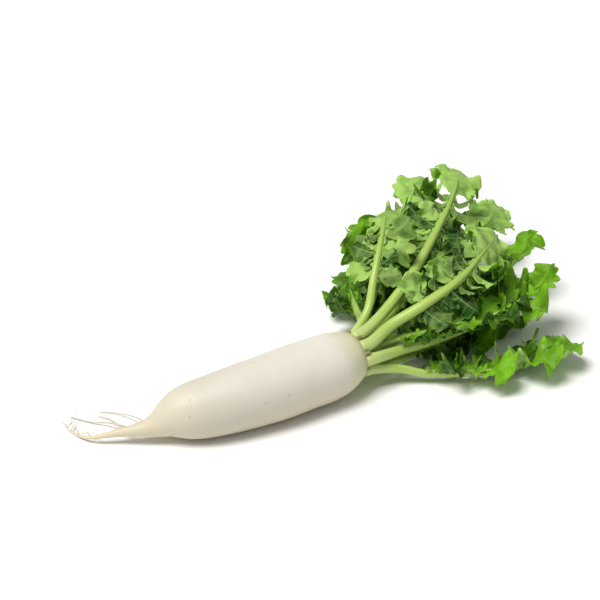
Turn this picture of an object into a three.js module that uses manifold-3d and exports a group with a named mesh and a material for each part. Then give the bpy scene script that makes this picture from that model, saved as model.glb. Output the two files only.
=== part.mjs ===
// A daikon radish, pulled and laid on its side with its leaves on. Millimetres, +Z up.
// The origin is the middle of the flat that the root lies on, and +X runs along the root to the crown.
// The root is one solid from the crown to the tail. Each leaf is a stalk, which runs on as the leaf's
// midrib, and a blade of leaflets and an end lobe that grows along both sides of that midrib.
import * as THREE from "three";
import { mergeVertices } from "three/addons/utils/BufferGeometryUtils.js";
import Module from "manifold-3d";

const wasm = await Module();
wasm.setup();

// ---- driving sizes -------------------------------------------------------------------------------

const ROOT_RADIUS = 35.5; // at the thickest place
const ROOT_SIDES = 18;
const ROOT_RINGS = 30;
const ROOTLET_SIDES = 5;
const BLADE_THICKNESS = 0.85;
const STALK_GAP = 0.5; // between a stalk and the blade or the crown around it
const WING_WIDTH = 2.6; // the narrow green margin that joins the leaflets along the midrib
const TABLE_CLEARANCE = 0.6; // the lowest that the middle of a blade comes to the table
const TABLE_SOFTNESS = 2; // square millimetres: how gently a blade comes to lie on it

const SKIN = new THREE.MeshStandardMaterial({ color: 0xf1ebdc, roughness: 0.42, metalness: 0 });
const STALK_GREEN = new THREE.MeshStandardMaterial({ color: 0xb2cf6a, roughness: 0.4, metalness: 0 });
const BLADE_GREEN = new THREE.MeshStandardMaterial({ color: 0x55902c, roughness: 0.55, metalness: 0 });

// The root's middle line and radius, [x, y, z, radius], from the crown to the tip of the tail. It bows a
// little, and below its shoulder it thins fast into a wiry tail that swings round to the back.
const ROOT_LINE = [
  [128, 15.3, 37, 20],
  [126.5, 15, 37, 24],
  [120.5, 14.1, 36.8, 27.6],
  [111.5, 12.7, 36.2, 31],
  [99.5, 10.9, 35.3, 34],
  [83, 8.3, 34.6, 35.4],
  [62, 5.8, 34.6, ROOT_RADIUS],
  [35, 2.8, 34.5, ROOT_RADIUS],
  [8, 1.4, 33.9, 34.7],
  [-18, 1.8, 32.5, 33.3],
  [-42, 4, 30.8, 31.4],
  [-60, 6.6, 29.3, 28.9],
  [-74, 9.1, 27, 25],
  [-85, 11, 23.9, 19.2],
  [-94, 12.6, 20.4, 13.8],
  [-104, 14.9, 17.5, 9.8],
  [-117, 19.3, 15.6, 6.6],
  [-131, 25.7, 13.4, 4.3],
  [-144, 31.8, 10.2, 2.7],
  [-155, 38.8, 7, 1.8],
  [-161, 47, 4.3, 1.4],
  [-165.5, 58, 2.7, 1.1],
  [-168.5, 71, 1.7, 0.9],
  [-169, 85, 1.3, 0.8],
];

// Side rootlets: the points they pass, and their radius at the root end. They taper to half of it.
const ROOTLETS = [
  {
    radius: 1.1,
    points: [[-117, 21, 15.5], [-122, 38, 11], [-131, 58, 5.5], [-144, 72, 2], [-160, 92, 1.3]],
  },
  {
    radius: 0.9,
    points: [[-101, 19, 16], [-103, 40, 12], [-108, 62, 5.5], [-117, 77, 1.8], [-130, 87, 1.3]],
  },
  {
    radius: 0.8,
    points: [[-122, 24, 13.5], [-124, 50, 7], [-126, 69, 2.4], [-134, 80, 1.3]],
  },
];

// The crown, the disc that the leaves grow from: its middle, and the directions across it.
const CROWN = {
  middle: new THREE.Vector3(127.5, 15.3, 37),
  out: new THREE.Vector3(0.986, 0.167, 0),
  left: new THREE.Vector3(-0.167, 0.986, 0),
  up: new THREE.Vector3(0, 0, 1),
};
const SUNK = 4; // how deep a stalk sits in the crown
const STRAIGHT = 12; // how far it comes straight out before it bends

// The leaves. turn and ring place the stalk on the crown: degrees from its left side towards the top,
// and the distance from its middle. width is half the stalk's width there. points is the way that the
// midrib takes to the tip of the end lobe. faceTip is where the blade's upper side looks at the tip.
// bare is the share of the length with no leaflets, and end the share that the end lobe takes. leaflet
// holds the length of the first and last leaflet, and lift and curl are their angle and bend.
const LEAVES = [
  {
    turn: 213, ring: 19, width: 6.2, faceTip: [0.1, 0.25, 1], bare: 0.34, end: 0.2,
    points: [
      [170, -4, 20], [195, -15, 14], [227, -30, 12], [262, -43, 12],
      [301, -51, 13], [337, -52, 17], [364, -48, 24],
    ],
    leaflet: [30, 42], endWidth: 27, lift: 30, curl: 0.7, seed: 16,
  },
  {
    turn: 172, ring: 19, width: 6.1, faceTip: [-0.1, 0.3, 1], bare: 0.4, end: 0.2,
    points: [[178, 4, 36], [222, 0, 40.3], [275, 1, 46.3], [325, 8, 54], [360, 19, 63], [376, 35, 73]],
    leaflet: [32, 40], endWidth: 22, lift: 2, curl: 0.35, seed: 22,
  },
  {
    turn: 160, ring: 5.5, width: 4.2, faceTip: [-0.4, 0, 1], bare: 0.36, end: 0.28,
    points: [[174, 12, 45], [208, 3, 50], [238, -3, 54], [268, -5, 57]],
    leaflet: [16, 20], endWidth: 14, lift: 16, curl: 0.5, seed: 7,
  },
  {
    turn: 127, ring: 19, width: 6.2, faceTip: [0.4, 0.75, -0.4], bare: 0.32, end: 0.26,
    points: [[170, 14, 62], [206, 10, 79], [251, 16, 94], [298, 42, 103], [336, 72, 101]],
    leaflet: [30, 35], endWidth: 28, lift: 8, curl: 0.5, seed: 61,
  },
  {
    turn: 86, ring: 19, width: 6.2, faceTip: [0.4, 0.75, -0.45], bare: 0.42, end: 0.24,
    points: [
      [169, 32, 65], [216, 55, 87], [268, 94, 107],
      [311, 131, 123], [344, 169, 129], [366, 200, 124],
    ],
    leaflet: [34, 48], endWidth: 28, lift: 6, curl: 0.6, seed: 55,
  },
  {
    turn: 46, ring: 19, width: 4.8, faceTip: [0.55, 0.5, -0.5], bare: 0.36, end: 0.26,
    points: [[160, 46, 67], [176, 64, 91], [197, 89, 111], [222, 123, 121], [249, 162, 119]],
    leaflet: [25, 33], endWidth: 23, lift: 10, curl: 0.6, seed: 34,
  },
  {
    turn: 8, ring: 19, width: 5, faceTip: [-0.2, 0.2, 1], bare: 0.36, end: 0.26,
    points: [[164, 64, 36], [185, 116, 23], [205, 163, 11], [224, 203, 7], [236, 229, 6]],
    leaflet: [24, 32], endWidth: 20, lift: 24, curl: 0.5, seed: 2,
  },
  {
    turn: 292, ring: 10.5, width: 4.6, faceTip: [0, 0.2, 1], bare: 0.36, end: 0.22,
    points: [[186, 34, 33], [240, 50, 26], [292, 68, 22], [342, 89, 21], [380, 118, 19]],
    leaflet: [25, 32], endWidth: 24, lift: 6, curl: 0.5, seed: 79,
  },
  {
    turn: 330, ring: 19, width: 5.4, faceTip: [-0.1, 0, 1], bare: 0.38, end: 0.24,
    points: [[188, 72, 23], [239, 125, 12], [293, 172, 7], [339, 210, 6], [371, 242, 5]],
    leaflet: [32, 40], endWidth: 25, lift: 14, curl: 0.4, seed: 99,
  },
  {
    turn: 262, ring: 19, width: 5.2, faceTip: [0, -0.1, 1], bare: 0.38, end: 0.24,
    points: [[184, 21, 13], [230, 31, 9], [274, 33, 8], [314, 33, 8], [350, 45, 8]],
    leaflet: [22, 28], endWidth: 24, lift: 6, curl: 0.4, seed: 20,
  },
  {
    turn: 22, ring: 10.5, width: 4.4, faceTip: [0.5, 0.6, -0.4], bare: 0.42, end: 0.24,
    points: [[169, 61, 52], [210, 107, 68], [257, 155, 82], [306, 207, 95], [343, 252, 101]],
    leaflet: [38, 48], endWidth: 27, lift: 8, curl: 0.6, seed: 121,
  },
  {
    turn: 66, ring: 6.5, width: 4.4, faceTip: [0.2, 0.45, -0.85], bare: 0.4, end: 0.22,
    points: [[188, 51, 47], [246, 84, 56], [305, 118, 61], [373, 164, 63], [429, 193, 68]],
    leaflet: [32, 36], endWidth: 28, lift: 8, curl: -0.4, seed: 13,
  },
  {
    turn: 332, ring: 4.6, width: 3.8, faceTip: [0.1, 0.3, 1], bare: 0.36, end: 0.24,
    points: [[196, 79, 40], [222, 137, 47], [243, 184, 56], [271, 222, 64]],
    leaflet: [34, 44], endWidth: 30, lift: 8, curl: 0.5, seed: 3,
  },
  {
    turn: 210, ring: 10.5, width: 4.2, faceTip: [0.3, 0.5, 0.5], bare: 0.4, end: 0.24,
    points: [[181, 20, 37], [243, 36, 43.5], [303, 52, 48], [368, 82, 54], [412, 110, 60]],
    leaflet: [28, 36], endWidth: 26, lift: 8, curl: 0.4, seed: 68,
  },
];

// ---- small helpers -------------------------------------------------------------------------------

const mix = (a, b, t) => a + (b - a) * t;
const vector = (p) => new THREE.Vector3(...p);
const smoothLine = (points) => new THREE.CatmullRomCurve3(points, false, "catmullrom", 0.5);

/** A number from 0 to 1 that is always the same for the same two numbers. */
function draw(seed, index) {
  const x = Math.sin(seed * 12.9898 + index * 78.233) * 43758.5453;
  return x - Math.floor(x);
}

/** Lifts a point that would lie in the table, smoothly, so that a drooping blade lies flat on it. */
function onTable(p) {
  const above = p.z - TABLE_CLEARANCE;
  p.z = TABLE_CLEARANCE + (above + Math.sqrt(above * above + TABLE_SOFTNESS)) / 2;
  return p;
}

/** A closed solid from points and triangles. */
function solid(points, triangles) {
  return new wasm.Manifold(
    new wasm.Mesh({
      numProp: 3,
      vertProperties: new Float32Array(points.flatMap((p) => [p.x, p.y, p.z])),
      triVerts: new Uint32Array(triangles.flat()),
    }),
  );
}

/** A solid tube through rings of points, closed at both ends by a middle point. */
function tube(rings) {
  const sides = rings[0].length;
  const points = rings.flat();
  const triangles = [];
  for (let i = 0; i < rings.length - 1; i++)
    for (let k = 0; k < sides; k++) {
      const a = i * sides + k;
      const b = i * sides + ((k + 1) % sides);
      triangles.push([a, b, b + sides], [a, b + sides, a + sides]);
    }
  const close = (ring, inwards) => {
    const middle = points.length;
    points.push(rings[ring].reduce((sum, p) => sum.add(p), new THREE.Vector3()).divideScalar(sides));
    for (let k = 0; k < sides; k++) {
      const a = ring * sides + k;
      const b = ring * sides + ((k + 1) % sides);
      triangles.push(inwards ? [middle, b, a] : [middle, a, b]);
    }
  };
  close(0, true);
  close(rings.length - 1, false);
  return solid(points, triangles);
}

/** A closed sheet around a grid of points. has(i, j) says which of the grid's cells are filled. */
function sheet(grid, thickness, has) {
  const filled = (i, j) => i >= 0 && j >= 0 && i < grid.length - 1 && j < grid[0].length - 1 && has(i, j);
  const points = [];
  const number = grid.map((row, i) =>
    row.map((p, j) => {
      const [before, after] = [filled(i - 1, j - 1) || filled(i - 1, j), filled(i, j - 1) || filled(i, j)];
      const [left, right] = [filled(i - 1, j - 1) || filled(i, j - 1), filled(i - 1, j) || filled(i, j)];
      if (!before && !after) return null;
      const along = grid[after ? i + 1 : i][j].clone().sub(grid[before ? i - 1 : i][j]);
      const across = grid[i][right ? j + 1 : j].clone().sub(grid[i][left ? j - 1 : j]);
      const half = along.cross(across).normalize().multiplyScalar(thickness / 2);
      points.push(p.clone().add(half), p.clone().sub(half));
      return points.length - 2;
    }),
  );
  const triangles = [];
  const wall = (a, b) => triangles.push([a, a + 1, b], [b, a + 1, b + 1]);
  for (let i = 0; i < grid.length - 1; i++)
    for (let j = 0; j < grid[0].length - 1; j++) {
      if (!filled(i, j)) continue;
      const [a, b, c, d] = [number[i][j], number[i + 1][j], number[i + 1][j + 1], number[i][j + 1]];
      triangles.push([a, b, c], [a, c, d], [a + 1, c + 1, b + 1], [a + 1, d + 1, c + 1]);
      if (!filled(i, j - 1)) wall(a, b);
      if (!filled(i + 1, j)) wall(b, c);
      if (!filled(i, j + 1)) wall(c, d);
      if (!filled(i - 1, j)) wall(d, a);
    }
  return solid(points, triangles);
}

/** One three.js mesh from a solid. */
function meshOf(name, made, material) {
  const { numProp, vertProperties, triVerts } = made.getMesh();
  const buffer = new THREE.InterleavedBuffer(vertProperties, numProp);
  const geometry = new THREE.BufferGeometry();
  geometry.setAttribute("position", new THREE.InterleavedBufferAttribute(buffer, 3, 0));
  geometry.setIndex(new THREE.BufferAttribute(triVerts, 1));
  const mesh = new THREE.Mesh(mergeVertices(geometry.toNonIndexed(), 1e-4), material);
  mesh.geometry.computeVertexNormals();
  mesh.name = name;
  return mesh;
}

// ---- the root ------------------------------------------------------------------------------------

/** A round tube along points, each with its radius, and flat where it would reach below the table. */
function taperedTube(points, radii, rings, sides, firstAngle) {
  const line = smoothLine(points.map(vector));
  const width = new THREE.SplineCurve(radii.map((radius, i) => new THREE.Vector2(i, radius)));
  const made = [];
  for (let i = 0; i <= rings; i++) {
    const middle = line.getPoint(i / rings);
    const along = line.getTangent(i / rings);
    const radius = width.getPoint(i / rings).y;
    const aside = new THREE.Vector3(0, 0, 1).cross(along).normalize();
    const up = along.clone().cross(aside);
    const ring = [];
    for (let k = 0; k < sides; k++) {
      const angle = firstAngle + (k * 2 * Math.PI) / sides;
      const p = middle.clone().addScaledVector(aside, radius * Math.cos(angle));
      p.addScaledVector(up, radius * Math.sin(angle));
      p.z = Math.max(p.z, 0);
      ring.push(p);
    }
    made.push(ring);
  }
  return tube(made);
}

/** The root with its tail and side rootlets, and a socket in the crown for each stalk. */
function root(sockets) {
  const faceDown = Math.PI / ROOT_SIDES - Math.PI / 2; // one side of each ring faces the table
  const line = ROOT_LINE.map((p) => p.slice(0, 3));
  const radii = ROOT_LINE.map((p) => p[3]);
  let made = taperedTube(line, radii, ROOT_RINGS, ROOT_SIDES, faceDown);
  for (const { radius, points } of ROOTLETS) {
    const last = points.length - 1;
    const thin = points.map((_, i) => mix(radius, radius / 2, i / last));
    made = made.add(taperedTube(points, thin, 2 * last, ROOTLET_SIDES, 0));
  }
  for (const socket of sockets) made = made.subtract(socket);
  return made;
}

// ---- the leaves ----------------------------------------------------------------------------------

const PAIRS = 3; // of leaflets on a leaf
const RIB_TIP = 0.9; // half the width of the midrib where it ends
const LATE = 1.9; // how late the stalk thins on its way there, where 1 is evenly
const SEAM_HEIGHT = 0.15; // of the blade's edge over the stalk's middle, as a share of its half width
const SPLAY = 1 / 8; // how far the stalks part on their straight stretch, as a share of their ring
const LEVEL = 0.5; // the share of the leaf over which its face turns from the crown's to the tip's
// The stalk's outline for a half width of 1: round below, with a shallow channel above.
const SECTION = [[1, 0], [0.55, 0.42], [0, 0.26], [-0.55, 0.42], [-1, 0], [-0.55, -0.95], [0.55, -0.95]];
const BARE_PLACES = [0, 0.03, 0.08, 0.14, 0.21, 0.29, 0.37]; // where the bare stalk has a section
const SOCKET_END = 0.2; // the share of the stalk that its socket follows, far out of the crown

// A leaflet and the end lobe: teeth on each side, and their depth. foot and tip are the width there,
// as shares of the widest place, and lean moves that place towards the tip.
const LEAFLET_SHAPE = { teeth: 3, depth: 0.2, foot: 0.3, tip: 0.25, lean: 1.15 };
const END_SHAPE = { teeth: 4, depth: 0.16, foot: 0.2, tip: 0.25, lean: 1.3 };
const HALF_WIDTH = 0.4; // of a leaflet at its widest, as a share of its length
const FOOT_WIDTH = 0.13; // half of what it takes of the midrib, as a share of its length
const FORWARD = [14, 30]; // degrees that the first and the last leaflet lean towards the tip
const FIRST_PAIR = 0.045; // from the bare stalk to the first leaflets, as a share of the leaf
const LAST_PAIR = 0.08; // and from the last leaflets to the end lobe
const WAVE = { height: 0.09, speed: 9, lag: 2 }; // of a leaflet's edge: radians along it and across
const END_WAVE = 0.1; // the height of the end lobe's, as a share of its width
const END_RISE = 0.25; // how steeply the two halves of the end lobe rise from the midrib
const END_LEAST = 1.5; // how far it always reaches past the wing

// How much the leaflets of one leaf differ: as shares, and forward and lift in degrees.
const VARIED = { place: 0.012, size: 0.2, forward: 8, lift: 14, curl: 0.5, fold: 0.4, twist: 0.5 };
const FOLD = 0.25; // how steeply the two halves of a leaflet rise from its middle
const TWIST = 0.2; // radians that it turns by over its first half
const FACE_OUT = 0.2; // how far a stalk's upper side looks out of the crown, as well as inwards

const OUTWARD = 2 * LEAFLET_SHAPE.teeth; // steps from a leaflet's foot to its tip
const COLUMNS = 2 + OUTWARD; // on each side of the midrib: the slot's edge, the wing's edge, the leaflet
const END_ROWS = 2 * END_SHAPE.teeth; // steps along the end lobe
const RIB_ROWS = 5; // of these, the ones that the midrib reaches
const PICKS = 10; // how many numbers are drawn for one leaflet
const END_PICK = 200; // the number drawn for the end lobe

/** The leaf's middle line, from inside the crown to the tip, and the directions at each place on it. */
function midrib({ turn, ring, points, faceTip }) {
  const angle = THREE.MathUtils.degToRad(turn);
  const radial = CROWN.left.clone().multiplyScalar(Math.cos(angle));
  radial.addScaledVector(CROWN.up, Math.sin(angle));
  const foot = CROWN.middle.clone().addScaledVector(radial, ring);
  const inside = foot.clone().addScaledVector(CROWN.out, -SUNK);
  const outside = foot.clone().addScaledVector(CROWN.out, STRAIGHT).addScaledVector(radial, SPLAY * ring);
  const line = smoothLine([inside, outside, ...points.map(vector)]);
  const faceFoot = radial.clone().negate().addScaledVector(CROWN.out, FACE_OUT);
  const tip = vector(faceTip).normalize();
  const at = (u) => {
    const point = line.getPointAt(u);
    const along = line.getTangentAt(u);
    const up = faceFoot.clone().lerp(tip, THREE.MathUtils.smoothstep(u, 0, LEVEL));
    up.addScaledVector(along, -up.dot(along)).normalize();
    return { point, along, up, aside: along.clone().cross(up) };
  };
  return { at, length: line.getLength() };
}

/** Half the width of the stalk and midrib at a share of the leaf's length. */
const stalkWidth = (leaf, u) => mix(leaf.width, RIB_TIP, Math.pow(u, LATE));

/** How far from the middle line the blade begins, and how high above it. */
const slotEdge = (leaf, u) => stalkWidth(leaf, u) + STALK_GAP;
const seam = (leaf, u) => SEAM_HEIGHT * stalkWidth(leaf, u);

/** The leaf's leaflets on both sides, with the place, size and posture of each. */
function leafletsOf(leaf, length) {
  const made = [];
  for (let pair = 0; pair < PAIRS; pair++) {
    const share = pair / (PAIRS - 1);
    const even = mix(leaf.bare + FIRST_PAIR, 1 - leaf.end - LAST_PAIR, share);
    const u = even + VARIED.place * (draw(leaf.seed, pair) - 0.5);
    const size = mix(...leaf.leaflet, share);
    const sides = [-1, 1].map((side) => {
      const first = PICKS * (2 * pair + (side < 0 ? 0 : 1));
      const vary = (index, spread) => spread * (draw(leaf.seed, first + index) - 0.5);
      return {
        side,
        long: size * (1 + vary(1, VARIED.size)),
        forward: THREE.MathUtils.degToRad(mix(...FORWARD, share) + vary(2, VARIED.forward)),
        lift: THREE.MathUtils.degToRad(leaf.lift + vary(3, VARIED.lift)),
        curl: leaf.curl * (1 + vary(4, VARIED.curl)),
        fold: FOLD + vary(5, VARIED.fold),
        twist: TWIST + vary(6, VARIED.twist),
        phase: vary(7, 2 * Math.PI),
      };
    });
    made.push({ u, reach: (FOOT_WIDTH * size) / length, sides });
  }
  return made;
}

/** Half the width of a lobe, as a share, from its foot, 0, to its tip, 1, with teeth on its edge. */
function outline({ teeth, depth, foot, tip, lean }, u) {
  const least = mix(foot, tip, u);
  const body = least + (1 - least) * Math.pow(Math.max(Math.sin(Math.PI * Math.pow(u, lean)), 0), 0.75);
  const tooth = 1 - 2 * Math.abs(2 * ((u * teeth) % 1) - 1);
  return body * (1 + depth * tooth);
}

/**
 * A point on a leaflet. v runs across it, from -1 on the crown's side to 1, and u out to its tip. It
 * curls down along its length, twists over its first half, and its two halves fold up and wave.
 */
function leafletPoint({ point, along, up, aside }, posture, u, v) {
  const { side, long, forward, lift, curl, fold, twist, phase } = posture;
  const [cosForward, sinForward] = [Math.cos(forward), Math.sin(forward)];
  const outward = aside.clone().multiplyScalar(side);
  const flat = outward.clone().multiplyScalar(cosForward).addScaledVector(along, sinForward);
  const edge = along.clone().multiplyScalar(cosForward).addScaledVector(outward, -sinForward);
  const out = flat.clone().multiplyScalar(Math.cos(lift)).addScaledVector(up, Math.sin(lift));
  const face = up.clone().multiplyScalar(Math.cos(lift)).addScaledVector(flat, -Math.sin(lift));
  const bend = curl * u || Number.EPSILON;
  const middle = point.clone().addScaledVector(out, (long * u * Math.sin(bend)) / bend);
  middle.addScaledVector(face, (-long * u * (1 - Math.cos(bend))) / bend);
  const bentFace = face.clone().multiplyScalar(Math.cos(bend)).addScaledVector(out, Math.sin(bend));
  const turned = twist * Math.min(2 * u, 1);
  const across = edge.multiplyScalar(Math.cos(turned)).addScaledVector(bentFace, Math.sin(turned));
  const wide = HALF_WIDTH * long * outline(LEAFLET_SHAPE, u);
  const wave = WAVE.height * long * Math.sin(WAVE.speed * u + phase + (v > 0 ? WAVE.lag : 0));
  const rise = Math.abs(v) * Math.min(3 * u, 1) * (fold * wide + wave);
  return onTable(middle.addScaledVector(across, v * wide).addScaledVector(bentFace, rise));
}

/** The blade: wings along the midrib, a leaflet on each side at each pair, and the end lobe. */
function blade(leaf, rib) {
  const pairs = leafletsOf(leaf, rib.length);
  const rows = [];
  for (const { u, reach, sides } of pairs)
    for (const v of [-1, 0, 1]) rows.push({ u: u + v * reach, v, foot: u, sides });
  for (let i = 0; i <= END_ROWS; i++) {
    const end = i / END_ROWS;
    rows.push({ u: mix(1 - leaf.end, 1, end), end });
  }

  const grid = rows.map(({ u, v, foot, sides, end }) => {
    const { point, up, aside } = rib.at(u);
    const slot = slotEdge(leaf, u);
    const inEnd = end !== undefined;
    const place = (side, across, rise) =>
      onTable(point.clone().addScaledVector(aside, side * across).addScaledVector(up, seam(leaf, u) + rise));

    const onEndLobe = (side, k) => {
      const lobe = Math.max(leaf.endWidth * outline(END_SHAPE, end), slot + WING_WIDTH + END_LEAST);
      const across = k === 1 && end === 0 ? slot + WING_WIDTH : mix(slot, lobe, k / 2);
      const phase = 2 * Math.PI * draw(leaf.seed, END_PICK + side);
      const wave = END_WAVE * lobe * Math.sin(WAVE.speed * end + phase) * (k - 1);
      return place(side, across, END_RISE * (across - slot) + wave);
    };
    const onLeaflet = (side, k) => {
      const at = rib.at(foot);
      at.point.addScaledVector(at.aside, side * (slotEdge(leaf, foot) + WING_WIDTH));
      at.point.addScaledVector(at.up, seam(leaf, foot));
      return leafletPoint(at, sides[side < 0 ? 0 : 1], (k - 1) / OUTWARD, v);
    };
    const column = (side, k) => {
      if (k === 0) return place(side, slot, 0);
      if (inEnd) return k < 3 ? onEndLobe(side, k) : null;
      return k === 1 ? place(side, slot + WING_WIDTH, 0) : onLeaflet(side, k);
    };
    const steps = Array.from({ length: COLUMNS }, (_, k) => k);
    return [...steps.map((k) => column(-1, k)).reverse(), ...steps.map((k) => column(1, k))];
  });

  const endFrom = 3 * PAIRS; // each pair has three rows
  return sheet(grid, BLADE_THICKNESS, (i, j) => {
    if (j === COLUMNS - 1) return i >= endFrom + RIB_ROWS; // the cell over the midrib
    const k = j < COLUMNS ? COLUMNS - 2 - j : j - COLUMNS;
    if (k === 0) return true;
    return i >= endFrom ? k === 1 : i % 3 !== 2;
  });
}

/** The stalk and midrib, up to a share of the leaf. A socket for it is fatter and starts deeper. */
function stalk(leaf, rib, until = 1, fatter = 0) {
  const bare = BARE_PLACES.filter((u) => u < leaf.bare - 0.02);
  const leafy = leafletsOf(leaf, rib.length).flatMap(({ u, reach }) => [u - reach, u + reach]);
  const end = [0, 2, RIB_ROWS - 0.5].map((i) => mix(1 - leaf.end, 1, i / END_ROWS));
  const places = [...bare, ...leafy, ...end].filter((u) => u <= until);
  return tube(
    places.map((u) => {
      const { point, along, up, aside } = rib.at(u);
      if (u === 0) point.addScaledVector(along, -2 * fatter);
      return SECTION.map(([across, rise]) => {
        const half = stalkWidth(leaf, u) + (1.3 * fatter) / Math.hypot(across, rise);
        return point.clone().addScaledVector(aside, -across * half).addScaledVector(up, rise * half);
      });
    }),
  );
}

// ---- the plant -----------------------------------------------------------------------------------

const daikon = new THREE.Group();
daikon.name = "daikon_radish";
const sockets = [];
LEAVES.forEach((leaf, index) => {
  const name = `leaf_${String(index + 1).padStart(2, "0")}`;
  const rib = midrib(leaf);
  sockets.push(stalk(leaf, rib, SOCKET_END, STALK_GAP));
  daikon.add(meshOf(`${name}_stalk`, stalk(leaf, rib), STALK_GREEN));
  daikon.add(meshOf(`${name}_blade`, blade(leaf, rib), BLADE_GREEN));
});
daikon.add(meshOf("root", root(sockets), SKIN));

export default daikon;
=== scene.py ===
import math
from bisect import bisect_right
from collections import namedtuple
from itertools import accumulate, pairwise

import bmesh
import bpy
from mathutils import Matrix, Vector, noise


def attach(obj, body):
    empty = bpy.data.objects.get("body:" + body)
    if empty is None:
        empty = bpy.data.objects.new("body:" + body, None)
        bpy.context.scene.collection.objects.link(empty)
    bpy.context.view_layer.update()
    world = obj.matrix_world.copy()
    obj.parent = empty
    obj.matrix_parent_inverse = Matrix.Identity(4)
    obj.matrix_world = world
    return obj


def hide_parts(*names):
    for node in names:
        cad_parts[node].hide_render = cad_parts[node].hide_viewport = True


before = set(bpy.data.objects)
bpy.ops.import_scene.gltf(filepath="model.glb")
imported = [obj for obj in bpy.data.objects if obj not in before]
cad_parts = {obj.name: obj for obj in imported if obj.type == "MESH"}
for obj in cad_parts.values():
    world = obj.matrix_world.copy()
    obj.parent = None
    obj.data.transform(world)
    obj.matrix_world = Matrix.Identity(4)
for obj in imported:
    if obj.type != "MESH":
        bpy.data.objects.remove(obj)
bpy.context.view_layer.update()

MM = 0.001

# ---- The camera, the table and the light ----------------------------------------------------------
# A sheet of matt white paper lies under the radish. A broad soft lamp hangs high above the tail's
# side, and a white room fills in the rest.

CAMERA_PLACE = Vector((-589.4, -1266.9, 949.7))
CAMERA_TARGET = Vector((65.9, 19.2, 116.4))
CAMERA_LENS = 100  # a short telephoto
PAPER_SIDE = 30000
PAPER_WHITE = "#fcfcfc"
ROOM_LIGHT = 0.27
LAMP_PLACE = Vector((-600, -50, 1500))
LAMP_TARGET = Vector((90, 30, 40))
LAMP_STRENGTH = 3.1
LAMP_SPREAD = 30  # degrees across, as a large soft box looks from the table
LAMP_WHITE, ROOM_WHITE = "#fffdfa", "#ffffff"


def linear(hex_colour):
    """An sRGB hex colour as the linear colour that a shader takes."""
    parts = [int(hex_colour[i : i + 2], 16) / 255 for i in (1, 3, 5)]
    return (*(p / 12.92 if p <= 0.04045 else ((p + 0.055) / 1.055) ** 2.4 for p in parts), 1)


def add_node(tree, kind, inputs=None, **settings):
    """Adds a node to a tree. inputs gives each of its sockets a value, or another node's output."""
    made = tree.nodes.new(kind)
    for name, value in settings.items():
        setattr(made, name, value)
    for socket, value in (inputs or {}).items():
        if isinstance(value, bpy.types.NodeSocket):
            tree.links.new(value, made.inputs[socket])
        else:
            made.inputs[socket].default_value = value
    return made


def new_material(name, **surface):
    """A material, its node tree and its main shader, with the values in surface on the shader."""
    material = bpy.data.materials.new(name)
    material.use_nodes = True
    shader = material.node_tree.nodes["Principled BSDF"]
    for socket, value in surface.items():
        shader.inputs[socket.replace("_", " ")].default_value = value
    return material, material.node_tree, shader


def placed(name, data, place, target):
    """Puts a camera or a lamp at a place, facing a target."""
    made = bpy.data.objects.new(name, data)
    made.location = place * MM
    made.rotation_euler = (target - place).to_track_quat("-Z", "Y").to_euler()
    bpy.context.scene.collection.objects.link(made)
    return made


camera = bpy.data.cameras.new("camera")
camera.lens = CAMERA_LENS
bpy.context.scene.camera = placed("camera", camera, CAMERA_PLACE, CAMERA_TARGET)

lamp = bpy.data.lights.new("lamp", "SUN")
lamp.angle = math.radians(LAMP_SPREAD)
lamp.energy = LAMP_STRENGTH
lamp.color = linear(LAMP_WHITE)[:3]
placed("lamp", lamp, LAMP_PLACE, LAMP_TARGET)

room = bpy.data.worlds.new("room")
room.use_nodes = True
walls = room.node_tree.nodes["Background"]
walls.inputs["Color"].default_value = linear(ROOM_WHITE)
rays = add_node(room.node_tree, "ShaderNodeLightPath").outputs["Is Camera Ray"]
# white where they show past the paper, and dimmer as a light
glow = add_node(room.node_tree, "ShaderNodeMapRange", {0: rays, 3: ROOM_LIGHT, 4: 1}).outputs[0]
room.node_tree.links.new(glow, walls.inputs["Strength"])
bpy.context.scene.world = room
bpy.context.scene.view_settings.view_transform = "Standard"

# Uncoated paper: white, and so rough that it gives no reflection.
paper, _, _ = new_material("matt_white_paper", Base_Color=linear(PAPER_WHITE), Roughness=1)
sweep = bmesh.new()
bmesh.ops.create_grid(sweep, x_segments=1, y_segments=1, size=PAPER_SIDE / 2 * MM)
sweep_mesh = bpy.data.meshes.new("paper")
sweep.to_mesh(sweep_mesh)
sweep_mesh.materials.append(paper)
sheet_of_paper = bpy.data.objects.new("paper", sweep_mesh)
bpy.context.scene.collection.objects.link(sheet_of_paper)

# ---- The root -------------------------------------------------------------------------------------
# One swollen taproot of crisp white flesh under a thin skin. It grew as one piece from the crown to
# the wiry tail, so it is one closed skin, with its side rootlets and root hairs coming out of it.

# (x, y, z, radius) along its middle, from the pole of the crown to the tip of the tail
ROOT_LINE = [
    (130.2, 15.6, 37, 0),
    (130, 15.6, 37, 9),
    (129, 15.5, 37, 16),
    (128, 15.3, 37, 20),
    (126.5, 15, 37, 24),
    (120.5, 14.1, 36.8, 27.6),
    (111.5, 12.7, 36.2, 31),
    (99.5, 10.9, 35.3, 34),
    (83, 8.3, 34.6, 35.4),
    (62, 5.8, 34.6, 35.5),
    (35, 2.8, 34.5, 35.5),
    (8, 1.4, 33.9, 34.7),
    (-18, 1.8, 32.5, 33.3),
    (-42, 4, 30.8, 31.4),
    (-60, 6.6, 29.3, 28.9),
    (-74, 9.1, 27, 25),
    (-85, 11, 23.9, 19.2),
    (-94, 12.6, 20.4, 13.8),
    (-104, 14.9, 17.5, 9.8),
    (-117, 19.3, 15.6, 6.6),
    (-131, 25.7, 13.4, 4.3),
    (-144, 31.8, 10.2, 2.7),
    (-155, 38.8, 7, 1.8),
    (-161, 47, 4.3, 1.4),
    (-165.5, 58, 2.7, 1.1),
    (-168.5, 71, 1.7, 0.9),
    (-169, 85, 1.3, 0.8),
]
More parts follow.
